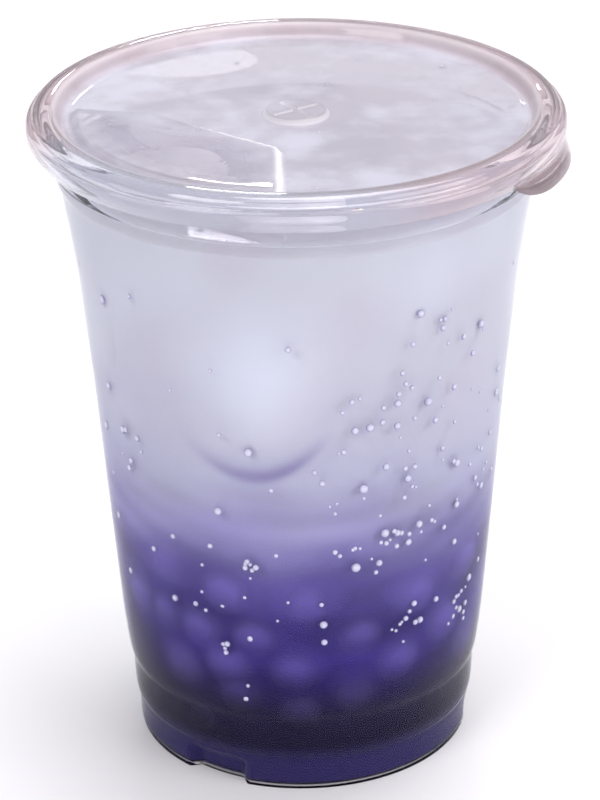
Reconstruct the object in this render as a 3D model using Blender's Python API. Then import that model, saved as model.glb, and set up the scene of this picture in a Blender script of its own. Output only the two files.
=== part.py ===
"""A cold drink in a clear plastic cup: cup, press-on lid, soda and the ice that breaks its surface.

The frame stands on the table at the centre of the cup's foot, +Z up. The front of the cup is
-Y and the lid's pull tab is at its right, towards +X. Lengths below are in millimetres.
"""

import math

import bmesh
import bpy
import numpy as np
from mathutils import Matrix, Vector, noise

MM = 0.001
GAP = 0.3  # between pieces that touch

# Cup: a thin-walled, thermoformed tumbler with a folded foot and a rolled rim.
WALL = 0.7
FOOT_RADIUS = 33.1
FOOT_HEIGHT = 7.6
FOOT_CHANNEL = 5.4  # width of the folded foot, outside to inside
FOOT_DRAFT = 0.3  # how far the foot's side leans out up to the groove
SHOULDER_HEIGHT = 17.5  # top of the straight band that lets cups stack
RIM_RADIUS = 48.7
RIM_BEAD = 1.3  # radius of the rolled rim
# The wall's outside as (radius, height), from the foot groove to the underside of the rim.
WALL_OUTSIDE = (
    (33.5, FOOT_HEIGHT),
    (34.0, FOOT_HEIGHT + 0.9),
    (34.35, SHOULDER_HEIGHT - 1.4),
    (35.0, SHOULDER_HEIGHT),
    (36.0, 26.0),
    (38.0, 50.0),
    (40.0, 75.0),
    (42.3, 99.0),
    (43.9, 110.0),
    (45.2, 117.5),
    (46.1, 119.0),
    (46.8, 125.5),
)
NOTCH_COUNT = 3
NOTCH_AT = math.radians(-90 - 32)
NOTCH_WIDTH = math.radians(16)
NOTCH_SIDE = math.radians(3.5)
NOTCH_DEPTH = 2.0
NOTCH_HEIGHT = 6.2
NOTCH_FADE = 1.6  # height over which a notch dies out

# Lid: a skirt that grips the rim, a raised ring and a sunken panel.
LID_TOP = 131.0
LID_RADIUS = 51.0
LID_WALL = 0.7
RIM_HEIGHT = LID_TOP - LID_WALL - GAP  # the lid's ring lies on the rim
SKIRT_BOTTOM = 124.4
SKIRT_TUCK = 1.6  # how far its lower edge is drawn in under the rim
RING_INSIDE = 45.6
PANEL_HEIGHT = 128.3  # upper face of the panel
PANEL_RADIUS = 44.4
BOSS_RADIUS = 6.4
BOSS_HEIGHT = 1.0
SCORE_AT = math.radians(35)
SCORE_HALF = 4.8
SCORE_WIDTH = 0.9
SCORE_DEPTH = 0.4
STEP_HEIGHT = 1.3  # the raised sector at the front left of the panel
STEP_RADIUS = 42.6
TAB_AT = math.radians(-90 + 69.5)
TAB_WIDTH = math.radians(33)
TAB_REACH = 1.5  # past the skirt
TAB_DROP = 2.4  # below the skirt
TAB_WALL = 0.8


SIDES = 48  # facets round the turned pieces
SAME_POINT = 0.002  # points nearer than this are one

# Contents.
DRINK_TOP = 119.6
LEVEL_STEP = 0.5  # the wall's points nearer to the level than this are left out
# Ice that breaks the surface: centre, half sizes, turn about Z and tilt in degrees.
ICE = (
    ((-18.0, 17.5, 112.2), (15.0, 10.5, 11.4), 26, 6),
    ((16.0, 21.5, 112.6), (14.0, 10.0, 11.2), -24, -6),
    ((25.5, -7.0, 112.0), (10.0, 13.0, 11.4), 8, 5),
    ((-24.0, -9.0, 111.6), (11.0, 10.5, 11.6), -10, -5),
    ((-1.0, -27.0, 106.8), (12.0, 9.0, 14.4), 4, 4),
)
ICE_ROUNDNESS = 3.6  # exponent of the rounded-box form: 2 is an ellipsoid
ICE_WAVE = 0.05

# Colour, roughness and alpha of each finish.
COLOURS = {
    "cup": ((0.93, 0.94, 0.96), 0.08, 0.12),
    "lid": ((0.90, 0.87, 0.88), 0.10, 0.12),
    "drink": ((0.42, 0.38, 0.66), 0.12, 0.85),
    "ice": ((0.86, 0.89, 0.95), 0.20, 0.55),
}


def clear_scene():
    for obj in list(bpy.data.objects):
        bpy.data.objects.remove(obj, do_unlink=True)


def material(name, colour, roughness, alpha):
    """A Principled BSDF of one plain finish."""
    mat = bpy.data.materials.new(name)
    mat.use_nodes = True
    shader = mat.node_tree.nodes["Principled BSDF"]
    shader.inputs["Base Color"].default_value = (*colour, 1.0)
    shader.inputs["Roughness"].default_value = roughness
    shader.inputs["Metallic"].default_value = 0.0
    shader.inputs["Alpha"].default_value = alpha
    return mat


def add_object(name, mesh, mat):
    obj = bpy.data.objects.new(name, mesh)
    bpy.context.scene.collection.objects.link(obj)
    mesh.materials.clear()
    mesh.materials.append(mat)
    mesh.shade_smooth()
    mesh.set_sharp_from_angle(angle=math.radians(35))
    return obj


def arc(centre, radius, start, end, steps):
    """Points (r, z) on an arc, angles in degrees from +r towards +z."""
    turns = np.radians(np.linspace(start, end, steps + 1))
    return [(centre[0] + radius * math.cos(t), centre[1] + radius * math.sin(t)) for t in turns]


def turned(name, profile):
    """The closed outline (r, z), in millimetres, spun once about the Z axis."""
    bm = bmesh.new()
    points = [bm.verts.new((r * MM, 0.0, z * MM)) for r, z in profile]
    on_axis = profile[0][0] == 0 and profile[-1][0] == 0
    ends = zip(points, points[1:] + ([] if on_axis else points[:1]))
    edges = [bm.edges.new(pair) for pair in ends]
    bmesh.ops.spin(
        bm, geom=points + edges, cent=(0, 0, 0), axis=(0, 0, 1),
        angle=2 * math.pi, steps=SIDES, use_merge=True,
    )
    bmesh.ops.remove_doubles(bm, verts=bm.verts, dist=1e-6)
    bmesh.ops.recalc_face_normals(bm, faces=bm.faces)
    mesh = bpy.data.meshes.new(name)
    bm.to_mesh(mesh)
    bm.free()
    return mesh


def wall_radius(height):
    """Outer radius of the cup's wall at a height above its foot."""
    radii, heights = zip(*WALL_OUTSIDE)
    return float(np.interp(height, heights, radii))


def notch_share(angle, margin):
    """1 inside a foot notch that is widened by a margin at each end, 0 outside, with sloping ends."""
    pitch = 2 * math.pi / NOTCH_COUNT
    off = abs((angle - NOTCH_AT + pitch / 2) % pitch - pitch / 2)
    return min(1.0, max(0.0, (NOTCH_WIDTH / 2 + margin + NOTCH_SIDE - off) / NOTCH_SIDE))


def press_notches(mesh, margin=0.0):
    """Pushes the foot's outer wall in at its notches, both faces of it together."""
    for vertex in mesh.vertices:
        x, y, z = (c / MM for c in vertex.co)
        radius = math.hypot(x, y)
        if z > NOTCH_HEIGHT or radius < FOOT_RADIUS - FOOT_CHANNEL / 2:
            continue
        fade = min(1.0, (NOTCH_HEIGHT - z) / NOTCH_FADE)
        push = NOTCH_DEPTH * fade * notch_share(math.atan2(y, x), margin)
        vertex.co.x *= (radius - push) / radius
        vertex.co.y *= (radius - push) / radius


def foot_inside(gap):
    """The inside of the folded foot, down its side, along the channel and up to the floor's middle.

    gap keeps what lies inside off the plastic; at 0 this is the plastic's own face.
    """
    side = FOOT_RADIUS - WALL - gap
    fold = FOOT_RADIUS - FOOT_CHANNEL + WALL + gap
    low = WALL + gap
    floor = FOOT_HEIGHT + gap
    return [
        (side + FOOT_DRAFT, NOTCH_HEIGHT),
        (side + FOOT_DRAFT - 0.2, NOTCH_HEIGHT - NOTCH_FADE),
        (side, low + 0.8),
        (side - 0.7, low),
        (fold + 0.6, low),
        (fold, low + 0.9),
        (fold, floor - 2.0),
        (fold - 0.5, floor - 0.5),
        (fold - 2.1, floor),
        (0, floor),
    ]


def build_cup(mat):
    fold = FOOT_RADIUS - FOOT_CHANNEL
    under_floor = FOOT_HEIGHT - WALL
    outside = [
        (0, under_floor),
        (fold - 1.6, under_floor),
        (fold - 0.3, under_floor - 0.8),
        (fold, under_floor - 1.7),
        (fold, 1.2),
        (fold + 0.9, 0.0),
        (FOOT_RADIUS - 0.5, 0.0),
        (FOOT_RADIUS, 0.7),
        (FOOT_RADIUS + FOOT_DRAFT - 0.2, NOTCH_HEIGHT - NOTCH_FADE),
        (FOOT_RADIUS + FOOT_DRAFT, NOTCH_HEIGHT),
        *WALL_OUTSIDE,
    ]
    rim = arc((RIM_RADIUS - RIM_BEAD, RIM_HEIGHT - RIM_BEAD), RIM_BEAD, -80, 160, 5)
    inside = [(r - WALL, z) for r, z in reversed(WALL_OUTSIDE)]
    mesh = turned("cup", outside + rim + inside + foot_inside(0))
    press_notches(mesh)
    return add_object("cup", mesh, mat)


def lid_profile():
    """Half section of the lid from its axis, along the top, round the skirt and back."""
    top = [
        (0, PANEL_HEIGHT),
        (BOSS_RADIUS + 1.2, PANEL_HEIGHT),
        (PANEL_RADIUS - 1.4, PANEL_HEIGHT),
        (PANEL_RADIUS, PANEL_HEIGHT + 0.3),
        (PANEL_RADIUS + 0.6, LID_TOP - 0.9),
        (RING_INSIDE + 0.3, LID_TOP),
        (LID_RADIUS - 2.8, LID_TOP),
        (LID_RADIUS - 1.6, LID_TOP - 0.5),
        (LID_RADIUS - 1.2, LID_TOP - 1.4),
        (LID_RADIUS - 0.5, LID_TOP - 1.7),
        (LID_RADIUS - 0.1, LID_TOP - 2.4),
        (LID_RADIUS, SKIRT_BOTTOM + 2.6),
        (LID_RADIUS - 0.4, SKIRT_BOTTOM + 1.5),
        (LID_RADIUS - SKIRT_TUCK, SKIRT_BOTTOM),
    ]
    under = [
        (LID_RADIUS - LID_WALL - SKIRT_TUCK, SKIRT_BOTTOM),
        (LID_RADIUS - 0.4 - LID_WALL, SKIRT_BOTTOM + 1.6),
        (LID_RADIUS - LID_WALL, SKIRT_BOTTOM + 2.6),
        (LID_RADIUS - 0.8, LID_TOP - 2.6),
        (LID_RADIUS - 1.9, LID_TOP - 2.1),
        (LID_RADIUS - 2.3, LID_TOP - 1.2),
        (LID_RADIUS - 3.0, LID_TOP - LID_WALL),
        (RING_INSIDE + 0.7, LID_TOP - LID_WALL),
        (PANEL_RADIUS + 1.3, LID_TOP - 1.3),
        (PANEL_RADIUS + 0.7, PANEL_HEIGHT - 0.2),
        (PANEL_RADIUS - 1.0, PANEL_HEIGHT - LID_WALL),
        (0, PANEL_HEIGHT - LID_WALL),
    ]
    return top + under


def step_outline():
    """Plan of the raised sector: an arc at the rim, a radial end and a straight back edge."""
    first, last = math.radians(-184), math.radians(-93)
    turns = np.linspace(first, last, 19)
    rim = [(STEP_RADIUS * math.cos(t), STEP_RADIUS * math.sin(t)) for t in turns]
    end = (-2.6, -19.5)
    back = (-27.0, -0.6)
    return rim + [end, back]


def prism(name, outline, low, high):
    """A plan outline raised from one height to another."""
    bm = bmesh.new()
    face = bm.faces.new([bm.verts.new((x * MM, y * MM, low * MM)) for x, y in outline])
    grown = bmesh.ops.extrude_face_region(bm, geom=[face])
    moved = [v for v in grown["geom"] if isinstance(v, bmesh.types.BMVert)]
    bmesh.ops.translate(bm, verts=moved, vec=(0, 0, (high - low) * MM))
    bmesh.ops.recalc_face_normals(bm, faces=bm.faces)
    mesh = bpy.data.meshes.new(name)
    bm.to_mesh(mesh)
    bm.free()
    return mesh


def boss_mesh():
    """A low round button with a rounded shoulder at the middle of the panel."""
    low = PANEL_HEIGHT - LID_WALL / 2
    high = PANEL_HEIGHT + BOSS_HEIGHT
    profile = [
        (0, low),
        (BOSS_RADIUS, low),
        (BOSS_RADIUS - 0.1, high - 0.5),
        (BOSS_RADIUS - 0.6, high),
        (0, high),
    ]
    return turned("boss", profile)


def tab_mesh():
    """The pull tab: a lip that leaves the skirt, swings out and hangs down, with round corners."""
    across, along = 14, 4
    bm = bmesh.new()
    rows = []
    for i in range(across + 1):
        side = 2 * i / across - 1
        reach = math.sqrt(max(0.0, 1 - abs(side) ** 3.2))
        turn = TAB_AT + side * TAB_WIDTH / 2
        row = []
        for j in range(along + 1):
            share = j / along * (0.12 + 0.88 * reach)
            r = LID_RADIUS - 0.6 + (TAB_REACH + 0.6) * math.sin(share * math.pi / 2)
            z = SKIRT_BOTTOM + 1.6 - (TAB_DROP + 1.6) * share ** 1.5
            row.append((r, z, turn))
        rows.append(row)

    def sheet(push):
        return [
            [bm.verts.new(((r - push) * math.cos(t) * MM, (r - push) * math.sin(t) * MM,
                           (z - 0.6 * push) * MM)) for r, z, t in row]
            for row in rows
        ]

    outer, inner = sheet(0.0), sheet(TAB_WALL)
    for i in range(across):
        for j in range(along):
            bm.faces.new((outer[i][j], outer[i + 1][j], outer[i + 1][j + 1], outer[i][j + 1]))
            bm.faces.new((inner[i][j], inner[i][j + 1], inner[i + 1][j + 1], inner[i + 1][j]))
        for j in (0, along):
            bm.faces.new((outer[i][j], inner[i][j], inner[i + 1][j], outer[i + 1][j]))
    for j in range(along):
        for i in (0, across):
            bm.faces.new((outer[i][j], outer[i][j + 1], inner[i][j + 1], inner[i][j]))
    bmesh.ops.recalc_face_normals(bm, faces=bm.faces)
    mesh = bpy.data.meshes.new("tab")
    bm.to_mesh(mesh)
    bm.free()
    return mesh


def join_all(obj, meshes):
    """Fuses the meshes to the object with one Boolean union, then removes them."""
    helpers = bpy.data.collections.new("helpers")
    bpy.context.scene.collection.children.link(helpers)
    for mesh in meshes:
        helpers.objects.link(bpy.data.objects.new(mesh.name, mesh))
    union = obj.modifiers.new("union", "BOOLEAN")
    union.operation = "UNION"
    union.operand_type = "COLLECTION"
    union.collection = helpers
    apply_modifiers(obj)
    for helper in list(helpers.objects):
        bpy.data.objects.remove(helper, do_unlink=True)
    bpy.data.collections.remove(helpers)


def apply_modifiers(obj):
    """Stores the evaluated mesh in the object, its doubled points merged, and drops its modifiers."""
    graph = bpy.context.evaluated_depsgraph_get()
    made = bpy.data.meshes.new_from_object(obj.evaluated_get(graph), depsgraph=graph)
    bm = bmesh.new()
    bm.from_mesh(made)
    bmesh.ops.remove_doubles(bm, verts=bm.verts, dist=SAME_POINT * MM)
    bm.to_mesh(made)
    bm.free()
    obj.modifiers.clear()
    obj.data = made
    made.shade_smooth()
    made.set_sharp_from_angle(angle=math.radians(35))


def cut(obj, meshes):
    """Takes the meshes out of the object."""
    cutters = bpy.data.collections.new("cutters")
    bpy.context.scene.collection.children.link(cutters)
    for mesh in meshes:
        cutters.objects.link(bpy.data.objects.new(mesh.name, mesh))
    less = obj.modifiers.new("cut", "BOOLEAN")
    less.operation = "DIFFERENCE"
    less.operand_type = "COLLECTION"
    less.collection = cutters
    apply_modifiers(obj)
    for cutter in list(cutters.objects):
        bpy.data.objects.remove(cutter, do_unlink=True)
    bpy.data.collections.remove(cutters)


def score_mesh():
    """The cross, drawn as one outline, that is scored into the boss for a straw."""
    half = SCORE_WIDTH / 2
    arm = np.array([(SCORE_HALF, -half), (SCORE_HALF, half), (half, half)])
    outline = []
    for n in range(4):
        turn = SCORE_AT + n * math.pi / 2
        x, y = arm.T
        xs = x * math.cos(turn) - y * math.sin(turn)
        ys = x * math.sin(turn) + y * math.cos(turn)
        outline += zip(xs, ys)
    top = PANEL_HEIGHT + BOSS_HEIGHT
    return prism("score", outline, top - SCORE_DEPTH, top + 1.0)


def build_lid(mat):
    obj = add_object("lid", turned("lid", lid_profile()), mat)
    step = prism("step", step_outline(), PANEL_HEIGHT - LID_WALL / 2, PANEL_HEIGHT + STEP_HEIGHT)
    join_all(obj, [boss_mesh(), step, tab_mesh()])
    cut(obj, [score_mesh()])
    return obj


def ice_mesh(name, place, grow=0.0):
    """A lump of ice: a rounded box whose faces are melted into slow waves."""
    centre, half, turn, tilt = place
    bm = bmesh.new()
    bmesh.ops.create_icosphere(bm, subdivisions=3, radius=1.0)
    seed = Vector(centre) * 0.37
    for vertex in bm.verts:
        way = vertex.co.normalized()
        power = sum(abs(c) ** ICE_ROUNDNESS for c in way)
        size = power ** (-1 / ICE_ROUNDNESS)
        size *= 1 + ICE_WAVE * noise.noise(way * 1.9 + seed)
        vertex.co = Vector([way[k] * size * half[k] for k in range(3)])
    bmesh.ops.recalc_face_normals(bm, faces=bm.faces)
    bm.normal_update()
    turned_by = Matrix.Rotation(math.radians(turn), 4, "Z") @ Matrix.Rotation(math.radians(tilt), 4, "X")
    if grow:
        for vertex in bm.verts:
            vertex.co += vertex.normal * grow
    move = Matrix.Scale(MM, 4) @ Matrix.Translation(centre) @ turned_by
    bmesh.ops.transform(bm, matrix=move, verts=bm.verts)
    mesh = bpy.data.meshes.new(name)
    bm.to_mesh(mesh)
    bm.free()
    return mesh


def build_drink(mat):
    """The soda fills the cup, foot channel and all, up to its level. The ice stands in its pockets."""
    hug = WALL + GAP
    side = [(r - hug, z) for r, z in WALL_OUTSIDE if z < DRINK_TOP - LEVEL_STEP]
    level = [(wall_radius(DRINK_TOP) - hug, DRINK_TOP), (0, DRINK_TOP)]
    mesh = turned("drink", foot_inside(GAP)[::-1] + side + level)
    press_notches(mesh, margin=2 * math.pi / SIDES)
    obj = add_object("drink", mesh, mat)
    cut(obj, [ice_mesh("pocket", place, GAP) for place in ICE])
    return obj


def main():
    clear_scene()
    mats = {name: material(name, *look) for name, look in COLOURS.items()}
    build_cup(mats["cup"])
    build_lid(mats["lid"])
    build_drink(mats["drink"])
    for number, place in enumerate(ICE, 1):
        name = f"ice_{number}"
        add_object(name, ice_mesh(name, place), mats["ice"])


main()
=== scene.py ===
import math

import bpy
import numpy as np
from mathutils import Matrix, Vector


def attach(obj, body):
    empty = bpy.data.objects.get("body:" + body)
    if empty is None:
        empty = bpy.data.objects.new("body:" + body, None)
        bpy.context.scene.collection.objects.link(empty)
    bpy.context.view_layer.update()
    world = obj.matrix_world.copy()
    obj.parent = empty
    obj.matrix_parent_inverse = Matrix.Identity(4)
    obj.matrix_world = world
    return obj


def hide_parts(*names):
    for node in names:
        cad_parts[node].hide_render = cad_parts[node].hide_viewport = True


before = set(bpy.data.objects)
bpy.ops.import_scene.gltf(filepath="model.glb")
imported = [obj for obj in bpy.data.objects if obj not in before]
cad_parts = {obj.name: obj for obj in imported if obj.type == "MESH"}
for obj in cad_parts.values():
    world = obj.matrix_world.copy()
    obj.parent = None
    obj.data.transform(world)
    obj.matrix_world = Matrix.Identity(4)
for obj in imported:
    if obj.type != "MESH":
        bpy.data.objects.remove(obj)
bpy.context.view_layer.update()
mm = 0.001  # sizes below are in millimetres
fullTurn = 2 * math.pi
hub = 0.3  # radius of the ring next to the pole of a turned form
print("frame loaded:", ", ".join(sorted(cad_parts)))


# Corner cutting: each corner gives way to a point on each of its sides, a quarter along it
# but no further off than reach.
def rounded(points, times=2, reach=1.5):
    points = np.asarray(points, float)
    for _ in range(times):
        a, b = points[:-1], points[1:]
        share = np.minimum(0.25, reach / np.linalg.norm(b - a, axis=1))[:, None]
        cut = np.stack([a + share * (b - a), b - share * (b - a)], 1).reshape(-1, 2)
        points = np.concatenate([points[:1], cut, points[-1:]])
    return points


# 0 below low, 1 above high, with a smooth rise between: 3t^2 - 2t^3.
def rise(value, low, high):
    t = np.clip((value - low) / (high - low), 0, 1)
    return t * t * (3 - 2 * t)


# 1 from b to c and 0 below a and above d, with smooth sides.
def band(value, a, b, c, d):
    return rise(value, a, b) * (1 - rise(value, c, d))


# A slow wave over the unit directions d: a sum of sines along fixed random axes.
def wave(d, seed, pitch=2.0, terms=6):
    rng = np.random.default_rng(seed)
    axes = rng.normal(size=(terms, 3)) * pitch
    phase = rng.uniform(0, fullTurn, terms)
    return np.sin(d @ axes.T + phase).sum(-1) / terms


# The mesh of a piece from whole arrays, its faces turned to point outwards: points in
# millimetres, quads and triangles as rows of point numbers. The volume under each triangle,
# summed with its sign, tells which way they point.
def makePiece(name, points, quads=(), triangles=(), mat=None):
    quads = np.asarray(quads, int).reshape(-1, 4)
    triangles = np.asarray(triangles, int).reshape(-1, 3)
    halves = np.concatenate([quads[:, [0, 1, 2]], quads[:, [0, 2, 3]], triangles])
    a, b, c = (points[halves[:, k]] for k in range(3))
    if np.einsum("ij,ij->i", a, np.cross(b, c)).sum() < 0:
        quads, triangles = quads[:, ::-1], triangles[:, ::-1]
    mesh = bpy.data.meshes.new(name)
    corners = np.concatenate([quads.ravel(), triangles.ravel()])
    sizes = np.concatenate([np.full(len(quads), 4), np.full(len(triangles), 3)])
    mesh.vertices.add(len(points))
    mesh.vertices.foreach_set("co", (np.asarray(points) * mm).ravel())
    mesh.loops.add(len(corners))
    mesh.loops.foreach_set("vertex_index", corners)
    mesh.polygons.add(len(sizes))
    mesh.polygons.foreach_set("loop_start", np.cumsum(sizes) - sizes)
    mesh.update(calc_edges=True)
    mesh.validate()
    mesh.shade_smooth()
    obj = bpy.data.objects.new(name, mesh)
    bpy.context.scene.collection.objects.link(obj)
    if mat:
        mesh.materials.append(mat)
    return obj


# Point numbers of the faces of a grid of rings, each closed on itself, with a pole point
# before the first ring and after the last.
def ringFaces(rings, sides):
    at = 1 + np.arange(rings * sides).reshape(rings, sides)
    near, far = at, np.roll(at, -1, axis=1)
    quads = np.stack([near[:-1], far[:-1], far[1:], near[1:]], -1).reshape(-1, 4)
    last = 1 + rings * sides
    first = np.stack([np.zeros(sides, int), far[0], near[0]], -1)
    end = np.stack([np.full(sides, last), near[-1], far[-1]], -1)
    return quads, np.concatenate([first, end])


# A closed turned form: radius and height are (rings, sides) arrays, and the ends meet the axis.
def turnedPiece(name, radius, height, mat, angles):
    x, y = radius * np.cos(angles), radius * np.sin(angles)
    rings = np.stack([x, y, height], -1).reshape(-1, 3)
    poles = [[[0, 0, height[0].mean()]], [[0, 0, height[-1].mean()]]]
    points = np.concatenate([poles[0], rings, poles[1]])
    quads, triangles = ringFaces(*radius.shape)
    return makePiece(name, points, quads, triangles, mat)


# Many like forms in one mesh: the pattern's points, scaled and moved for each place.
def scattered(name, pattern, quads, triangles, scales, places, mat):
    points = pattern * scales[:, None, :] + places[:, None, :]
    step = (np.arange(len(places)) * len(pattern))[:, None, None]
    return makePiece(name, points.reshape(-1, 3), (quads[None] + step).reshape(-1, 4),
                     (triangles[None] + step).reshape(-1, 3), mat)


# A unit ball as rings of latitude.
def ball(rings, sides):
    tilt = np.linspace(0, math.pi, rings + 2)[1:-1, None]
    turn = np.linspace(0, fullTurn, sides, endpoint=False)[None]
    x, y = np.sin(tilt) * np.cos(turn), np.sin(tilt) * np.sin(turn)
    z = np.broadcast_to(np.cos(tilt), x.shape)
    body = np.stack([x, y, z], -1).reshape(-1, 3)
    points = np.concatenate([[[0, 0, 1]], body, [[0, 0, -1]]])
    return points, *ringFaces(rings, sides)


# One socket of a material's node tree. Sums, products and powers of it add Math nodes.
class Wire:
    def __init__(self, tree, socket=None):
        self.tree, self.socket = tree, socket

    # Any node: its type, its settings, the values or links of its sockets, and the output read.
    def node(self, kind, settings=None, sockets=None, out=0):
        made = self.tree.nodes.new("ShaderNode" + kind)
        for key, value in (settings or {}).items():
            if key == "stops":
                for _ in range(len(value) - 2):
                    made.color_ramp.elements.new(0.5)
                for stop, (at, colour) in zip(made.color_ramp.elements, value):
                    stop.position, stop.color = at, (*colour, 1)
            else:
                setattr(made, key, value)
        for key, value in (sockets or {}).items():
            if isinstance(value, Wire):
                self.tree.links.new(value.socket, made.inputs[key])
            else:
                made.inputs[key].default_value = value
        return Wire(self.tree, made.outputs[out])

    def maths(self, operation, *values):
        return self.node("Math", {"operation": operation}, dict(enumerate(values)))

    def __add__(self, other):
        return self.maths("ADD", self, other)

    def __sub__(self, other):
        return self.maths("SUBTRACT", self, other)

    def __rsub__(self, other):
        return self.maths("SUBTRACT", other, self)

    def __mul__(self, other):
        return self.maths("MULTIPLY", self, other)

    def __pow__(self, other):
        return self.maths("POWER", self, other)

    __radd__, __rmul__ = __add__, __mul__

    # 0 to 1 as this value goes from low to high, smoothly.
    def rise(self, low, high):
        settings = {"interpolation_type": "SMOOTHSTEP"}
        return self.node("MapRange", settings, {"Value": self, "From Min": low, "From Max": high})

    # This value as a share of the way from colour a to colour b.
    def mix(self, a, b):
        return self.node("Mix", {"data_type": "RGBA"}, {0: self, 6: a, 7: b}, out=2)

    def ramp(self, *stops):
        return self.node("ValToRGB", {"stops": stops}, {0: self})


# A screen colour, 0 to 255, as the linear light that Blender works in.
def tone(red, green, blue):
    share = np.array([red, green, blue]) / 255
    light = np.where(share <= 0.04045, share / 12.92, ((share + 0.055) / 1.055) ** 2.4)
    return tuple(float(v) for v in light)


# The same with full cover, as a colour socket takes it.
def paint(red, green, blue):
    return (*tone(red, green, blue), 1)


# An empty material and the wire that adds its nodes.
def newMaterial(name):
    mat = bpy.data.materials.new(name)
    mat.use_nodes = True
    mat.node_tree.nodes.clear()
    return mat, Wire(mat.node_tree)


def useSurface(wire, surface):
    output = wire.tree.nodes.new("ShaderNodeOutputMaterial")
    wire.tree.links.new(surface.socket, output.inputs["Surface"])


# The points of a piece in millimetres, a row each.
def pointsOf(obj):
    flat = np.empty(len(obj.data.vertices) * 3)
    obj.data.vertices.foreach_get("co", flat)
    return flat.reshape(-1, 3) / mm


# Gives each point of a piece a colour, one row of linear light each, for toneMaterial to read.
def colourPoints(obj, colours):
    layer = obj.data.attributes.new("tone", "FLOAT_COLOR", "POINT")
    solid = np.ones((len(colours), 1))
    layer.data.foreach_set("color", np.concatenate([colours, solid], 1).ravel())


# Each row of a on its way to b by its share.
def blend(share, a, b):
    share = np.asarray(share)[:, None]
    return a + (np.asarray(b) - a) * share


# Gives the faces of a piece that a test picks out by their middles a second material.
def faceMaterial(obj, mat, chosen):
    mesh = obj.data
    middles = np.empty(len(mesh.polygons) * 3)
    mesh.polygons.foreach_get("center", middles)
    mesh.materials.append(mat)
    picked = chosen(*(middles.reshape(-1, 3).T / mm)).astype(np.int32)
    mesh.polygons.foreach_set("material_index", picked)
    mesh.update()


# The normal of a surface that swells and sinks by up to a millimetre times the strength.
def bumped(wire, height, strength):
    return wire.node("Bump", {}, {"Height": height, "Strength": strength, "Distance": mm})


solidLooks = {  # roughness, specular level and strength of the swell
    "cloudySoda": (0.55, 0.03, 0.0),
    "pearl": (0.3, 0.1, 0.0),
    "wetIce": (0.3, 0.4, 0.2),
    "sunkIce": (0.4, 0.15, 0.0),
    "bubble": (0.1, 0.8, 0.0),
}


# A solid look with the colour that colourPoints gave.
def toneMaterial(name):
    rough, specular, swell = solidLooks[name]
    mat, wire = newMaterial(name)
    sockets = {
        "Base Color": wire.node("Attribute", {"attribute_name": "tone"}, out="Color"),
        "Roughness": rough, "Specular IOR Level": specular,
    }
    if swell:
        sockets["Normal"] = bumped(wire, noise(wire, place(wire)[0], 5.0), swell)
    useSurface(wire, wire.node("BsdfPrincipled", {}, sockets))
    return mat


# The object's own coordinates in millimetres: the vector and its x, y and z.
def place(wire):
    point = wire.node("TexCoord", out="Object")
    point = wire.node("VectorMath", {"operation": "SCALE"}, {0: point, "Scale": 1 / mm})
    parts = wire.node("SeparateXYZ", {}, {0: point})
    return point, *(Wire(wire.tree, parts.socket.node.outputs[k]) for k in range(3))


# Soft random patches about a pitch across, in millimetres.
def noise(wire, point, pitch, detail=2.0, stretch=(1, 1, 1)):
    moved = wire.node("Mapping", {}, {"Vector": point, "Scale": stretch})
    return wire.node("TexNoise", {}, {"Vector": moved, "Scale": 1 / pitch, "Detail": detail})


plasticLook = {
    "tint": (251, 251, 252),
    "rough": 0.01,
    "ior": 1.12,  # low, so that the dark foot keeps dark edges on a pale floor
    "gloss": 1.0,
    "shade": (0.96, 0.96, 0.965, 1),
    "haze": 0.03,  # roughness that comes and goes in patches
    "hazePitch": 9,
    "swell": 0.1,
    "swellPitch": 18,
    "swellStretch": (1, 1, 0.4),
}

sodaLook = {
    "tint": (252, 252, 254),
    "rough": 0.0,
    "ior": 1.33,
    "gloss": 0.08,  # faint against the wall, and full on the level
    "shade": (0.98, 0.98, 0.99, 1),
}


# Clear stuff. Light that falls on what is inside goes straight through, less the shade.
def clearMaterial(name, look):
    mat, wire = newMaterial(name)
    sockets = {
        "Base Color": paint(*look["tint"]), "Roughness": look["rough"],
        "Transmission Weight": 1.0, "IOR": look["ior"],
        "Specular Tint": (look["gloss"], look["gloss"], look["gloss"], 1),
    }
    if "swell" in look:
        point = place(wire)[0]
        haze = noise(wire, point, look["hazePitch"], 3).rise(0.45, 0.75)
        sockets["Roughness"] = look["rough"] + haze * look["haze"]
        swell = noise(wire, point, look["swellPitch"], 1, look["swellStretch"])
        sockets["Normal"] = bumped(wire, swell, look["swell"])
    glass = wire.node("BsdfPrincipled", {}, sockets)
    passing = wire.node("BsdfTransparent", {}, {"Color": look["shade"]})
    spread = wire.node("LightPath", out="Is Diffuse Ray")
    shadow = wire.node("LightPath", out="Is Shadow Ray")
    inner = wire.node("MixShader", {}, {0: spread, 1: glass, 2: passing})
    useSurface(wire, wire.node("MixShader", {}, {0: shadow, 1: inner, 2: passing}))
    return mat


cup = {
    "wall": 0.7,
    "footRadius": 33.1,
    "footHeight": 7.6,
    "footChannel": 5.4,
    "footDraft": 0.3,
    "rimRadius": 48.65,
    "rimBead": 1.3,
    "rimTop": 129.9,
    "sides": 288,
    "outside": (  # radius, height
        (33.5, 7.6), (34.0, 8.5), (34.35, 16.1), (35.0, 17.5), (36.0, 26.0), (38.0, 50.0),
        (40.0, 75.0), (42.3, 99.0), (43.9, 110.0), (45.2, 117.5), (46.1, 119.0), (46.8, 125.5),
    ),
    "notchCount": 3,
    "notchAt": math.radians(-122),
    "notchHalf": math.radians(9),
    "notchSide": math.radians(3),
    "notchDepth": 2.0,
    "notchHeight": 6.2,
    "notchFade": 1.6,
}
cupAngles = np.linspace(0, fullTurn, cup["sides"], endpoint=False)


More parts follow.
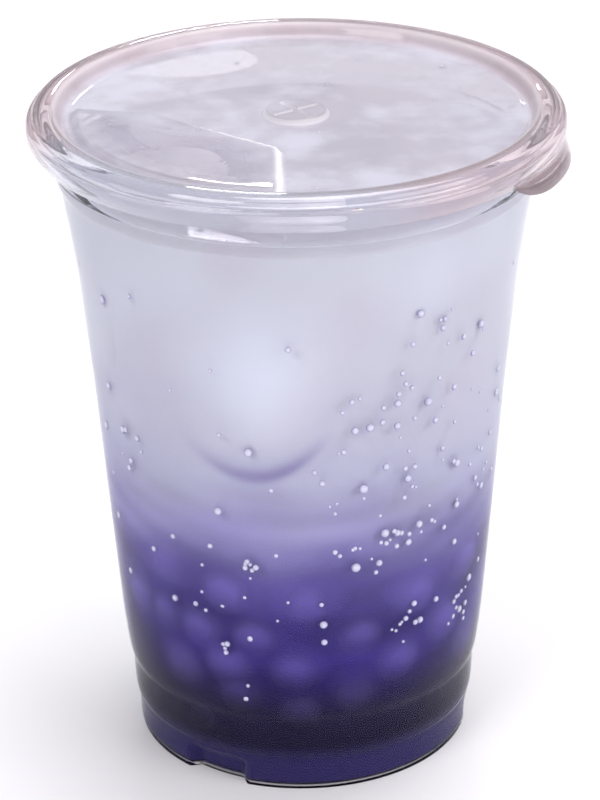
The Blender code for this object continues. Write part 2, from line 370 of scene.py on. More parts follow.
# The foot's outer wall pushed in at its notches: full depth up to the fade, over their width.
def pressed(radius, height):
    pitch = fullTurn / cup["notchCount"]
    off = np.abs((cupAngles - cup["notchAt"] + pitch / 2) % pitch - pitch / 2)
    across = 1 - rise(off, cup["notchHalf"], cup["notchHalf"] + cup["notchSide"])
    up = 1 - rise(height, cup["notchHeight"] - cup["notchFade"], cup["notchHeight"])
    outer = radius > cup["footRadius"] - cup["footChannel"] / 2
    return radius - cup["notchDepth"] * across * up * outer


# The inside of the folded foot from its side down, along the channel and up to the floor.
def footInside(gap):
    side = cup["footRadius"] - cup["wall"] - gap
    fold = cup["footRadius"] - cup["footChannel"] + cup["wall"] + gap
    low, floor = cup["wall"] + gap, cup["footHeight"] + gap
    top, fade = cup["notchHeight"], cup["notchFade"]
    return [
        (side + cup["footDraft"], top), (side + cup["footDraft"] - 0.2, top - fade),
        (side, low + 0.8), (side - 0.7, low), (fold + 0.6, low), (fold, low + 0.9),
        (fold, floor - 2.0), (fold - 0.5, floor - 0.5), (fold - 2.1, floor), (hub, floor),
    ]


# The profile carried round the axis as (rings, sides) arrays.
def carried(profile, angles):
    radius = np.repeat(profile[:, :1], len(angles), 1)
    height = np.repeat(profile[:, 1:], len(angles), 1)
    return radius, height


# The cup as one closed profile turned about the axis: under the floor, down and up round the
# folded foot, up the outside, round the rim bead, and down the inside, a wall further in.
def cupShell(mat):
    fold = cup["footRadius"] - cup["footChannel"]
    foot, under = cup["footRadius"], cup["footHeight"] - cup["wall"]
    bead = cup["rimBead"]
    turn = np.radians(np.linspace(-80, 160, 9))
    rim = np.stack([cup["rimRadius"] - bead + bead * np.cos(turn),
                    cup["rimTop"] - bead + bead * np.sin(turn)], 1)
    profile = [
        (hub, under), (fold - 1.6, under), (fold - 0.3, under - 0.8), (fold, under - 1.7),
        (fold, 1.2), (fold + 0.9, 0.0), (foot - 0.5, 0.0), (foot, 0.7),
        (foot + cup["footDraft"] - 0.2, cup["notchHeight"] - cup["notchFade"]),
        (foot + cup["footDraft"], cup["notchHeight"]), *cup["outside"], *rim,
        *((r - cup["wall"], z) for r, z in reversed(cup["outside"])), *footInside(0),
    ]
    radius, height = carried(rounded(profile), cupAngles)
    radius = pressed(radius, height)
    return turnedPiece("cupShell", radius, height, mat, cupAngles)


# Inner radius of the cup's wall at a height.
def wallInside(height):
    radii, heights = zip(*cup["outside"])
    return np.interp(height, heights, radii) - cup["wall"]


# Which places are on the wall's inner face, below the drink's level and outside the floor.
def touchesDrink(x, y, z):
    r = np.hypot(x, y)
    return (z < drink["level"]) & (z > 1) & (r < wallInside(z) + 0.2) & (r > 20)


lid = {
    "top": 131.0,
    "radius": 51.0,
    "wall": 0.7,
    "skirtBottom": 124.4,
    "tuck": 1.6,
    "ringInside": 45.6,
    "panel": 128.3,
    "panelRadius": 44.4,
    "bossRadius": 6.4,
    "bossHeight": 1.0,
    "scoreAt": math.radians(35),
    "scoreHalf": 4.8,
    "scoreWidth": 0.9,
    "scoreDepth": 0.4,
    "stepHeight": 1.3,
    "stepRadius": 42.6,
    "stepSlope": 1.5,
    "stepCorners": ((-42.5, 3.0), (-27.0, -0.6), (-2.6, -19.5), (-2.2, -42.5)),
    "clearEdge": 9,  # the mist thins out over this width inside the step
    "highlightWidths": (0.42, 0.6, 0.5),  # of the sector's back and side and of the ring
    "highlightShares": (1.0, 0.8, 0.35, 0.3),  # how white the painted highlight is on each, and then on the boss
    "highlightFade": (-24, -8),  # the back crease's painted highlight fades in over this stretch of x
    "tabAt": math.radians(-20.5),
    "tabHalf": math.radians(16.5),
    "tabReach": 2.9,
    "tabDrop": 2.4,
    "sides": 384,
}


# How far inside the line from a corner to the next each place lies.
def insideLine(x, y, a, b):
    return ((b[1] - a[1]) * (x - a[0]) - (b[0] - a[0]) * (y - a[1])) / math.dist(a, b)


# How far inside the raised sector each place lies: the least distance from an arc and three
# lines.
def insideStep(x, y):
    inside = lid["stepRadius"] - np.hypot(x, y)
    for a, b in zip(lid["stepCorners"], lid["stepCorners"][1:]):
        inside = np.minimum(inside, insideLine(x, y, a, b))
    return inside


# Height of the panel's relief: the raised sector, the boss and the cross scored into it.
def panelRelief(x, y):
    step = lid["stepHeight"] * rise(insideStep(x, y), 0, lid["stepSlope"])
    boss = lid["bossHeight"] * rise(lid["bossRadius"] - np.hypot(x, y), 0, 0.8)
    c, s = math.cos(lid["scoreAt"]), math.sin(lid["scoreAt"])
    along, across = np.abs(x * c + y * s), np.abs(y * c - x * s)
    low, high = np.minimum(along, across), np.maximum(along, across)
    groove = (1 - rise(low, 0.15, lid["scoreWidth"] / 2 + 0.15)) * (high < lid["scoreHalf"])
    return step + boss - lid["scoreDepth"] * groove


# Painted highlight: how white the lid is painted along its creases in place of glints on them: a
# bell curve off the brink of the sector's two long straight edges, less on the boss where the
# relief is steep, and a little on the ring's brink.
def creaseHighlightShare(x, y):
    r = np.hypot(x, y)
    start, corner, end = lid["stepCorners"][1:]
    back, side = insideLine(x, y, start, corner), insideLine(x, y, corner, end)
    backWidth, sideWidth, ringWidth = lid["highlightWidths"]
    backShare, sideShare, ringShare, bossShare = lid["highlightShares"]
    brink = lid["stepSlope"] - 0.2
    line = backShare * np.exp(-((back - brink) / backWidth) ** 2)
    line = line * rise(x, *lid["highlightFade"]) * (side > brink - 0.5)
    fold = sideShare * np.exp(-((side - brink + 0.5) / sideWidth) ** 2) * (back > brink - 0.5)
    off = 0.3
    steep = np.hypot(panelRelief(x + off, y) - panelRelief(x - off, y),
                     panelRelief(x, y + off) - panelRelief(x, y - off)) / (2 * off)
    boss = bossShare * rise(steep, 0.3, 1.0) * (r < lid["bossRadius"] + 1)
    rim = ringShare * np.exp(-((r - lid["ringInside"]) / ringWidth) ** 2)
    panel = r < lid["stepRadius"] - 0.5
    return np.clip((line + fold) * panel + boss + rim, 0, 1)


# The lid as one closed profile turned about the axis: out over the panel, up and over the ring,
# down the skirt to its tucked edge, and back a wall lower. The panel's relief is added to the
# height, and the tab pulls the skirt's edge out and down over part of the turn.
def lidShell(mat):
    angles = np.linspace(0, fullTurn, lid["sides"], endpoint=False)
    r, top, low, wall = lid["radius"], lid["top"], lid["skirtBottom"], lid["wall"]
    panel, edge, ring = lid["panel"], lid["panelRadius"], lid["ringInside"]
    over = rounded([
        (edge - 1.4, panel), (edge, panel + 0.3), (edge + 0.6, top - 0.9), (ring + 0.3, top),
        (r - 2.8, top), (r - 1.6, top - 0.5), (r - 1.2, top - 1.4), (r - 0.5, top - 1.7),
        (r - 0.1, top - 2.4), (r, low + 2.6), (r - 0.4, low + 1.5), (r - lid["tuck"], low),
    ], 2, 0.6)
    under = rounded([
        (r - wall - lid["tuck"], low), (r - 0.4 - wall, low + 1.6), (r - wall, low + 2.6),
        (r - 0.8, top - 2.6),
        (r - 1.9, top - 2.1), (r - 2.3, top - 1.2), (r - 3.0, top - wall),
        (ring + 0.7, top - wall), (edge + 1.3, top - 1.3), (edge + 0.7, panel - 0.2),
        (edge - 1.0, panel - wall),
    ], 2, 0.6)
    # rings stand closer together over the boss
    centre = np.concatenate([np.arange(0.4, 7.2, 0.34), np.linspace(7.6, edge - 1.7, 52)])
    flat = np.stack([centre, np.full(len(centre), panel)], 1)
    below = flat[::-1] - (0, wall)
    radius, height = carried(np.concatenate([flat, over, under, below]), angles)
    x, y = radius * np.cos(angles), radius * np.sin(angles)
    height = height + panelRelief(x, y) * (radius < edge - 1.5)
    off = np.abs((angles - lid["tabAt"] + math.pi) % fullTurn - math.pi) / lid["tabHalf"]
    share = np.sqrt(np.clip(1 - off ** 3.2, 0, 1)) * (1 - rise(height, low, low + 1.8))
    share = share * (radius > r - 2)
    piece = turnedPiece("lidShell", radius + lid["tabReach"] * share,
                        height - lid["tabDrop"] * share, mat, angles)
    x, y, z = pointsOf(piece).T
    # the creases' share of painted highlight, and where the mist thins
    shares = {"crease": creaseHighlightShare(x, y), "clear": rise(insideStep(x, y), 0, lid["clearEdge"])}
    for name, share in shares.items():
        layer = piece.data.attributes.new(name, "FLOAT", "POINT")
        layer.data.foreach_set("value", share)
    return piece


lidLook = {
    "panelTint": (238, 235, 243),
    "ringTint": (237, 224, 228),
    "frontTint": (241, 243, 250),
    "mist": 0.48,  # cover of the mist under the panel, everywhere and then in patches
    "patches": 0.25,
    "clear": 0.6,  # how much of the mist is gone over the raised sector
    "mistTone": (190, 187, 198),
    "patchTone": (202, 202, 215),
    "ringMilk": 0.17,
    # how much of the film over the creases is painted white as a highlight
    "highlightMilk": 0.9,
    "milkTone": (213, 199, 205),
    "frontMilk": (220, 222, 236),
    "ringEdge": (42.5, 47),  # the panel's finish gives way to the ring's between these radii
    "frontEdge": (30, 46),  # and the ring's to that of its front between these distances
    "breathPitch": 20,
    "finePitch": 4.5,
    "swell": 0.005,  # of the ring alone, because the panel has to mirror cleanly
    "swellPitch": 13,
    "ior": 1.5,
    "filmRough": 0.5,
    "filmGloss": 0.3,
    "shade": (0.93, 0.91, 0.92, 1),
}


# The lid's plastic: pinkish and a little frosted in the ring and the skirt, misted and clear by
# turns in the panel, and painted white along its creases as a highlight.
def lidMaterial(look):
    mat, wire = newMaterial("lidPlastic")
    point, x, y, z = place(wire)
    ring = ((x * x + y * y) ** 0.5).rise(*look["ringEdge"])
    front = (0 - y - x * 0.4).rise(*look["frontEdge"])
    warm = front.mix(paint(*look["ringTint"]), paint(*look["frontTint"]))
    breath = noise(wire, point, look["breathPitch"])
    fine = noise(wire, point, look["finePitch"], 3)
    patches = (breath * 0.8 + fine * 0.2).rise(0.42, 0.66)
    swell = noise(wire, point, look["swellPitch"], 1) * ring
    glass = wire.node("BsdfPrincipled", {}, {
        "Base Color": ring.mix(paint(*look["panelTint"]), warm), "Transmission Weight": 1.0,
        "IOR": look["ior"], "Roughness": 0.0, "Normal": bumped(wire, swell, look["swell"]),
    })
    # painted highlight: the film turns white along the creases
    crease = wire.node("Attribute", {"attribute_name": "crease"}, out="Fac")
    clear = wire.node("Attribute", {"attribute_name": "clear"}, out="Fac")
    mist = (patches * look["patches"] + look["mist"]) * (1 - ring) * (1 - clear * look["clear"])
    milk = mist + ring * look["ringMilk"] + crease * look["highlightMilk"]
    misty = patches.mix(paint(*look["mistTone"]), paint(*look["patchTone"]))
    milky = front.mix(paint(*look["milkTone"]), paint(*look["frontMilk"]))
    # the film is painted white along the creases as a highlight
    film = wire.node("BsdfPrincipled", {}, {
        "Base Color": crease.mix(ring.mix(misty, milky), paint(255, 255, 255)),
        "Roughness": look["filmRough"], "Specular IOR Level": look["filmGloss"],
    })
    body = wire.node("MixShader", {}, {0: milk, 1: glass, 2: film})
    passing = wire.node("BsdfTransparent", {}, {"Color": look["shade"]})
    shadow = wire.node("LightPath", out="Is Shadow Ray")
    useSurface(wire, wire.node("MixShader", {}, {0: shadow, 1: body, 2: passing}))
    return mat


drink = {
    "level": 119.6,
    "intoWall": 0.18,  # the clear part reaches this far into the plastic
    "meniscus": 0.6,
    "meniscusReach": 1.0,
    "cloudDepth": 2.6,  # the cloudy part starts this far inside the wall
    "cloudGap": 0.2,  # and this far in the foot
    "cloudTop": 118.3,
    "tones": (  # height and screen colour of the cloudy part, from the foot up
        (0, (48, 42, 92)), (6, (44, 38, 86)), (10, (24, 20, 44)), (18, (31, 26, 58)),
        (24, (38, 27, 88)), (30, (54, 41, 116)), (38, (62, 51, 121)), (46, (86, 76, 139)),
        (53, (127, 122, 171)), (60, (160, 158, 192)), (67, (179, 181, 204)),
        (76, (186, 187, 205)), (92, (194, 196, 209)), (120, (199, 203, 213)),
    ),
    "drift": 5.0,  # how far up or down the tones wander, in millimetres
    "driftFrom": (14, 48),  # the wandering grows over these heights
    "lean": 3.0,  # the violet stands this much higher on the left, in millimetres
    "ripple": 3.2,  # how far the edge of the violet breaks up into tongues, in millimetres
    "rippleBand": (44, 54, 66, 80),
    "marbling": 0.5,  # how much lighter and darker the violet is in patches
    "marblingBand": (14, 30, 56, 72),
    "rosy": (196, 192, 207),
    "rosyFrom": (66, 86),
    "pale": (216, 222, 236),
    "paleFrom": (64, 84),
    # painted shade in the folds under the ice, and the heights it comes in over
    "shadeUnderIce": (134, 128, 172),
    "shadeUnderIceFrom": (60, 70),
    "swell": 0.6,  # how far the cloud swells over the ice in it
    "ghosts": (  # ice seen dimly in the cloud: degrees from the front, lowest point, top, how steeply its lower edge rises to the left and right, half width, paleness, painted shade below
        # steeply its lower edge rises to the left and right, half width, paleness, dusk below
        (-14, 69.5, 108, 0.030, 0.038, 17, 1.0, 0.9),
        (34, 94, 121, 0.020, 0.020, 13, 0.7, 0.0),
        (-74, 78, 108, 0.030, 0.040, 14, 0.3, 0.1),
        (104, 74, 104, 0.040, 0.035, 15, 0.9, 0.7),
        (168, 80, 110, 0.040, 0.040, 15, 0.9, 0.6),
        (226, 70, 102, 0.035, 0.045, 14, 0.9, 0.7),
    ),
}


# The clear drink: along the inside of the foot, up the wall, over the edge that the drink draws
# up the wall, a bell curve off it, and in over the level.
def clearDrink(mat):
    gap = -drink["intoWall"]
    level, top = drink["level"], drink["level"] + drink["meniscus"]
    hug = cup["wall"] + gap
    side = [(r - hug, z) for r, z in cup["outside"] if z < level - 0.4]
    edge = wallInside(level) - gap
    back = np.linspace(edge, hub, 90)
    curve = level + drink["meniscus"] * np.exp(-((edge - back) / drink["meniscusReach"]) ** 2)
    profile = np.concatenate([
        rounded([*footInside(gap)[::-1], *side, (edge + 0.05, top)]),
        np.stack([back, curve], 1)[1:],
    ])
    radius, height = carried(profile, cupAngles)
    radius = pressed(radius, height)
    return turnedPiece("clearDrink", radius, height, mat, cupAngles)


# The ghosts' shares at places given by turn and height: how much each place swells with ice,
# how pale it is and how much painted shade it takes in the fold under the ice. The lower edge
# is a parabola, and all three fade smoothly off it.
def ghostShares(turn, z):
    swell, pale, shadeUnderIce = np.zeros_like(z), np.zeros_like(z), np.zeros_like(z)
    for angle, low, top, left, right, half, paleness, shade in drink["ghosts"]:
        off = (turn - math.radians(angle - 90) + math.pi) % fullTurn - math.pi
        across = off * wallInside(z)
        above = z - low - np.where(across < 0, left, right) * across ** 2
        ends = 1 - rise(np.abs(across), half * 0.6, half * 1.4)
        body = rise(above, -1.0, 9.0) * (1 - rise(z, top - 18, top + 6)) * ends
        middle = 0.35 + 0.65 * np.exp(-((across - 2) / (0.5 * half)) ** 2)
        middle = middle * rise(above, -1, 22)
        swell = np.maximum(swell, paleness * body)
        pale = np.maximum(pale, paleness * body * middle)
        wide = np.where(above < 0.4, 1.2, 2.2)
        near = 1 - rise(np.abs(across), half * 0.35, half * 1.05)
        fold = np.exp(-((above - 0.4) / wide) ** 2) * (0.4 + 0.6 * rise(across, -14, 2)) * near
        shadeUnderIce = np.maximum(shadeUnderIce, shade * fold)
    return swell, pale, shadeUnderIce


# The colour of the cloudy soda at each point: looked up by its height plus slow waves, then
# blotched, painted with the pearls' glow near them and with shade between them, rosy and pale in
# places, and painted with shade in the folds under ice.
def sodaTone(points):
    x, y, z = points.T
    turn = np.arctan2(y, x)
    around = np.stack([np.cos(turn), np.sin(turn), z / 30], -1)
    wobble = wave(around, 31, 2.4) + 0.5 * wave(around * (2, 2, 0.9), 32, 3.2)
    drift = drink["drift"] * wobble + drink["lean"] * np.cos(turn)
    tongues = drink["ripple"] * wave(around * (3, 3, 6), 36, 2.4, 9)
    level = z + drift * rise(z, *drink["driftFrom"]) + tongues * band(z, *drink["rippleBand"])
    heights = [h for h, c in drink["tones"]]
    tones = np.array([tone(*c) for h, c in drink["tones"]])
    colour = np.stack([np.interp(level, heights, tones[:, k]) for k in range(3)], 1)
    patches = wave(around * (1, 1, 1.4), 34, 9.0, 12) * band(z, *drink["marblingBand"])
    colour = colour * (1 + drink["marbling"] * patches)[:, None]
    # painted glow round the pearls and painted shade between them
    shine, gap = pearlShares(turn, z)
    colour = blend(shine, colour * (1 - pearls["gap"] * gap)[:, None], tone(*pearls["glow"]))
    pink = 0.5 * rise(wave(around * (2.4, 2.4, 2.0), 35, 2.6), 0.0, 0.5)
    colour = blend(pink * rise(z, *drink["rosyFrom"]), colour, tone(*drink["rosy"]))
    haze = 0.35 * rise(wave(around * (2.2, 2.2, 1.2), 33, 2.6), -0.1, 0.5)
    swell, pale, shadeUnderIce = ghostShares(turn, z)
    light = np.maximum(haze * rise(z, *drink["paleFrom"]), 0.9 * pale)
    colour = blend(light, colour, tone(*drink["pale"]))
    # painted shade in the folds under the ice
    return blend(shadeUnderIce * rise(z, *drink["shadeUnderIceFrom"]), colour, tone(*drink["shadeUnderIce"]))


# The cloudy body: along the foot, up the side at its depth inside the wall, swollen by slow waves
# and over the ice in it, round its upper edge and in over a gently uneven top.
def cloudDrink(mat):
    heights = np.linspace(9.6, drink["cloudTop"] - 1.6, 130)
    depth = drink["cloudDepth"] * (0.25 + 0.75 * rise(heights, 8, 26))
    side = np.stack([wallInside(heights) - depth, heights], 1)
    foot = rounded(footInside(drink["cloudGap"])[::-1], 2, 0.8)
    rim = wallInside(drink["cloudTop"]) - drink["cloudDepth"]
    top = rounded([
        (rim - 0.3, drink["cloudTop"] - 0.9), (rim - 1.6, drink["cloudTop"]),
        (rim - 6, drink["cloudTop"] + 0.1),
    ])
    flat = np.stack([np.linspace(rim - 6.6, hub, 60), np.full(60, drink["cloudTop"] + 0.1)], 1)
    radius, height = carried(np.concatenate([foot, side, top, flat]), cupAngles)
    turn = cupAngles + 0 * height
    around = np.stack([np.cos(turn), np.sin(turn), height / 22], -1)
    swell = wave(around, 5, 2.6) * 0.6 + wave(around, 6, 6.0) * 0.25
    swell = swell + drink["swell"] * ghostShares(turn, height)[0]
    radius = radius + swell * rise(height, 14, 30) * (radius > 10)
    radius = pressed(radius, height)
    flatTop = height > drink["cloudTop"] - 1
    spread = np.stack([radius * np.cos(cupAngles), radius * np.sin(cupAngles), 0 * radius], -1)
    height = height + 0.5 * wave(spread / 9, 8, 2.0) * flatTop
    piece = turnedPiece("cloudDrink", radius, height, mat, cupAngles)
    colourPoints(piece, sodaTone(pointsOf(piece)))
    return piece


# How far in from the wall's inner face each point lies.
def depthInside(points):
    return wallInside(points[:, 2]) - np.hypot(points[:, 0], points[:, 1])


# Where the fog hides a piece it is lit as the cloud is, so that its edge melts away.
def meltEdges(piece, fog):
    own = np.empty(len(fog) * 3)
    piece.data.vertex_normals.foreach_get("vector", own)
    points = pointsOf(piece)
    outward = points * (1, 1, 0) / np.hypot(points[:, :1], points[:, 1:2])
    ways = blend(rise(fog, 0, 0.8), own.reshape(-1, 3), outward)
    piece.data.normals_split_custom_set_from_vertices(ways)


pearls = {
    "count": 36,  # besides those listed
    "radius": 6.1,
    "spread": 0.05,
    "low": 12.8,
    "high": 44.0,
    "offWall": 0.3,
    "circle": 30.5,  # radius of the circle that the wall is unrolled from
    "rounds": 240,  # of pushing them apart
    "seed": 11,
    "halo": 0.32,  # how much of their glow reaches the cloud round them
    "haloCircle": 32.0,
    "haloFrom": (14, 28),
    "gap": 0.2,  # how much painted shade darkens the cloud between them
    "shadeBetweenBand": (14, 28, 40, 50),
    "fog": (0.3, 2.1),  # they fade into the cloud over these depths inside the wall
    "front": (  # pearls listed one by one: degrees from the front and height
        (-16, 34.5), (18.5, 34.5), (-3, 27.5), (38, 41), (-35, 34.5), (-47.5, 47), (-22, 21),
        (-1, 17.5), (33, 27), (52, 32), (-44, 24), (-63, 36),
    ),
    "glow": (122, 108, 194),
    "glint": (170, 160, 220),
    "glintWay": (-0.35, -0.6, 0.72),
}


# How much of the pearls' painted glow reaches each place of the cloud, by turn and height, more
# on their upper sides as if lit from above, and how much painted shade each place takes in a gap
# between pearls.
def pearlShares(turn, z):
    rng = np.random.default_rng(pearls["seed"])
    at, height = pearlPlaces(rng)
    strength = rng.uniform(0.3, 1, len(at))
    off = (turn[:, None] - at + math.pi) % fullTurn - math.pi
    across, up = off * pearls["haloCircle"], z[:, None] - height
    far = np.hypot(across, up) / pearls["radius"]
    shares = (1 - rise(far, 0.3, 1.2)) * (0.6 + 0.4 * np.clip(up / pearls["radius"], -1, 1))
    shine = pearls["halo"] * (shares * strength).max(1) * rise(z, *pearls["haloFrom"])
    return shine, rise(far.min(1), 0.85, 1.4) * band(z, *pearls["shadeBetweenBand"])


# Pearls packed against the wall: the set ones, and random ones on the unrolled wall, pushed
# apart in turns until none is nearer than a diameter.
def pearlPlaces(rng):
    girth = fullTurn * pearls["circle"]
    fixed = np.array(pearls["front"], float) * (girth / 360, 1)
    loose = np.stack([rng.uniform(0, girth, pearls["count"]),
                      rng.uniform(pearls["low"], pearls["high"], pearls["count"])], 1)
    at = np.concatenate([fixed, loose])
    held = np.arange(len(at)) < len(fixed)
    for step in range(pearls["rounds"]):
        off = at[:, None] - at[None]
        off[..., 0] = (off[..., 0] + girth / 2) % girth - girth / 2
        far = np.linalg.norm(off, axis=-1) + np.eye(len(at)) * 99
        push = np.clip(2 * pearls["radius"] + 0.1 - far, 0, None) / far * 0.4
        moved = at + (off * push[..., None]).sum(1) - (0, 0.03)
        moved[:, 1] = np.clip(moved[:, 1], pearls["low"], pearls["high"])
        at = np.where(held[:, None], at, moved)
    return at[:, 0] / girth * fullTurn - math.pi / 2, at[:, 1]


# Balls against the wall, each a little out of round, lit from above and with a pale glint, fading
# into the cloud with depth.
def pearlHeap(mat):
    rng = np.random.default_rng(pearls["seed"])
    turn, height = pearlPlaces(rng)
    size = pearls["radius"] * (1 + pearls["spread"] * rng.uniform(-1, 1, len(turn)))
    radius = wallInside(height) - size - pearls["offWall"] - rng.uniform(0, 0.8, len(turn))
    places = np.stack([radius * np.cos(turn), radius * np.sin(turn), height], 1)
    scales = size[:, None] * (1 + 0.03 * rng.uniform(-1, 1, (len(turn), 3)))
    form = ball(17, 28)
    piece = scattered("pearlHeap", *form, scales, places, mat)
    points = pointsOf(piece)
    around = sodaTone(points)
    upward = np.tile(form[0][:, 2], len(turn))
    lit = 0.6 * rise(upward, -0.6, 0.9) * rise(points[:, 2], 12, 36)
    own = blend(lit, around, tone(*pearls["glow"]))
    spot = form[0] @ np.array(pearls["glintWay"])
    glint = np.tile(rise(spot, 0.95, 0.99), len(turn)) * rise(points[:, 2], 14, 32)
    own = blend(0.8 * glint, own, tone(*pearls["glint"]))
    fog = rise(depthInside(points), *pearls["fog"])
    colourPoints(piece, blend(fog, own, around))
    meltEdges(piece, fog)
    return piece


ice = {
    "roundness": 3.6,
    "wave": 0.05,
    "rings": 44,
    "sides": 72,
    "offWall": 0.9,
    "fog": (0.3, 2.1),
    "floating": (  # centre, half sizes, turn about Z and tilt, as the model has them
        ((-18.0, 17.5, 112.2), (15.0, 10.5, 11.4), 26, 6),
        ((16.0, 21.5, 112.6), (14.0, 10.0, 11.2), -24, -6),
        ((25.5, -7.0, 112.0), (10.0, 13.0, 11.4), 8, 5),
        ((-24.0, -9.0, 111.6), (11.0, 10.5, 11.6), -10, -5),
        ((-1.0, -27.0, 106.8), (12.0, 9.0, 14.4), 4, 4),
    ),
    "sunk": (
        ((26.9, 5.6, 92.0), (11.0, 12.0, 13.0), -10, 8),
        ((-17.2, 20.8, 84.0), (11.0, 11.0, 12.0), 30, 4),
        ((-26.8, -7.4, 94.0), (11.0, 12.0, 12.0), 12, 5),
    ),
    "body": (222, 224, 232),
    "frost": (244, 245, 249),
}


# A rounded box: a unit direction, drawn out until the powers of its parts sum to one, with
# slow waves where the faces have melted, and held off the cup's wall.
def lump(name, where, mat, seed, waves=1.0):
    centre, half, turn, tilt = where
    points, quads, triangles = ball(ice["rings"], ice["sides"])
    power = (np.abs(points) ** ice["roundness"]).sum(1)
    size = power ** (-1 / ice["roundness"])
    size = size * (1 + waves * ice["wave"] * wave(points, seed, 2.2))
    upright = Matrix.Rotation(math.radians(turn), 3, "Z")
    turned = np.array(upright @ Matrix.Rotation(math.radians(tilt), 3, "X"))
    shaped = (points * size[:, None] * half) @ turned.T + centre
    reach = wallInside(shaped[:, 2]) - ice["offWall"]
    shaped[:, :2] *= np.minimum(1, reach / np.hypot(shaped[:, 0], shaped[:, 1]))[:, None]
    return makePiece(name, shaped, quads, triangles, mat), points


# Ice that floats, frosted white in patches.
def floatingIce(number, mat):
    piece, ways = lump(f"iceCube{number + 1}", ice["floating"][number], mat, 40 + number)
    frost = rise(wave(ways, 80 + number, 3.4), -0.2, 0.5)
    colourPoints(piece, blend(frost, np.array(tone(*ice["body"])), tone(*ice["frost"])))
    return piece


# Ice sunk in the cloud: painted a little brighter than the cloud on all but its underside, which
# is left in painted shade, and fading into it with depth.
def sunkIce(number, mat):
    piece, ways = lump(f"sunkIce{number + 1}", ice["sunk"][number], mat, 60 + number, 1.6)
    points = pointsOf(piece)
    around = sodaTone(points)
    # painted light from above: all but the underside is brighter
    bright = around + 0.06 * rise(ways[:, 2:], -1, -0.3)
    fog = rise(depthInside(points), *ice["fog"])
    colourPoints(piece, blend(fog, bright, around))
    meltEdges(piece, fog)
    return piece


bubbles = {
    "loose": 110,
    "looseTurn": (50, 75),  # their middle and spread, in degrees from the front
    "looseHeight": (30, 110),
    "small": 0.28,
    "large": 1.15,
    "low": 20,
    "high": 116,
    "offWall": 0.15,
    "clusters": (  # degrees from the front, height, count, spread
        (-15.7, 51.2, 7, 1.3), (10, 54.3, 2, 0.6), (16.3, 54, 3, 0.8), (25, 56, 5, 1.2),
        (31, 56, 5, 1.5), (38, 57.5, 5, 2.2), (32, 37, 9, 2.8), (60, 33, 14, 2.6),
        (36, 76, 12, 6.0), (42, 92, 9, 6.0), (24, 84, 6, 5.0), (58, 66, 12, 6.0),
        (-25, 31.5, 4, 1.0), (-62, 70, 6, 5.0), (-19, 24, 2, 2.0),
        (130, 60, 16, 7.0), (200, 72, 16, 9.0), (265, 58, 12, 7.0), (330, 44, 6, 4.0),
    ),
    # painted highlight colour and painted shade colour of the bubbles
    "bright": (216, 218, 236),
    "edge": (158, 150, 192),
}


# Small flattened drops that hang under the lid's panel, and a few on top of it.
drops = {
    "under": 70,
    "over": 34,
    "reach": 41,
    "small": 0.25,
    "large": 1.0,
    "flat": 0.55,
}


# Flattened balls strewn evenly over the panel's disc, half sunk in its faces.
def lidDrops(mat):
    rng = np.random.default_rng(7)
    count = drops["under"] + drops["over"]
    reach = drops["reach"] * np.sqrt(rng.uniform(0.05, 1, count))
    turn = rng.uniform(0, fullTurn, count)
    x, y = reach * np.cos(turn), reach * np.sin(turn)
    size = drops["small"] + (drops["large"] - drops["small"]) * rng.beta(1.2, 3.5, count)
    below = np.arange(count) < drops["under"]
    half = 0.5 * drops["flat"] * size
    sink = np.where(below, -lid["wall"] - half, half)
    places = np.stack([x, y, lid["panel"] + panelRelief(x, y) + sink], 1)
    scales = size[:, None] * (1, 1, drops["flat"])
    return scattered("lidDrops", *ball(5, 12), scales, places, mat)


# Small balls close to the wall, strewn loosely and in clusters.
def bubbleSpray(mat):
    rng = np.random.default_rng(23)
    turn = rng.normal(*bubbles["looseTurn"], bubbles["loose"])
    bottom, top = bubbles["looseHeight"]
    height = bottom + (top - bottom) * rng.beta(1.3, 1.6, bubbles["loose"])
    for angle, at, count, spread in bubbles["clusters"]:
        turn = np.append(turn, angle + rng.normal(0, spread * 1.4, count))
        height = np.append(height, at + rng.normal(0, spread, count))
    keep = (height > bubbles["low"]) & (height < bubbles["high"])
    turn, height = np.radians(turn[keep] - 90), height[keep]
    size = bubbles["small"] + (bubbles["large"] - bubbles["small"]) * rng.beta(1.2, 2.6, len(turn))
    deeper = 0.5 * rng.uniform(0, 1, len(turn)) ** 2
    radius = wallInside(height) - size - bubbles["offWall"] - deeper
    out = np.stack([np.cos(turn), np.sin(turn), 0 * turn], 1)
    places = out * radius[:, None] + np.stack([0 * turn, 0 * turn, height], 1)
    scales = np.repeat(size[:, None], 3, 1)
    form = ball(5, 10)
    piece = scattered("bubbleSpray", *form, scales, places, mat)
    # painted light: bright towards the wall and up, and painted shade round the edge
    paintedLight = (out @ form[0].T).ravel() + 0.25 * np.tile(form[0][:, 2], len(turn))
    edge, bright = np.array(tone(*bubbles["edge"])), tone(*bubbles["bright"])
    colourPoints(piece, blend(rise(paintedLight, 0.25, 0.85), edge, bright))
    return piece


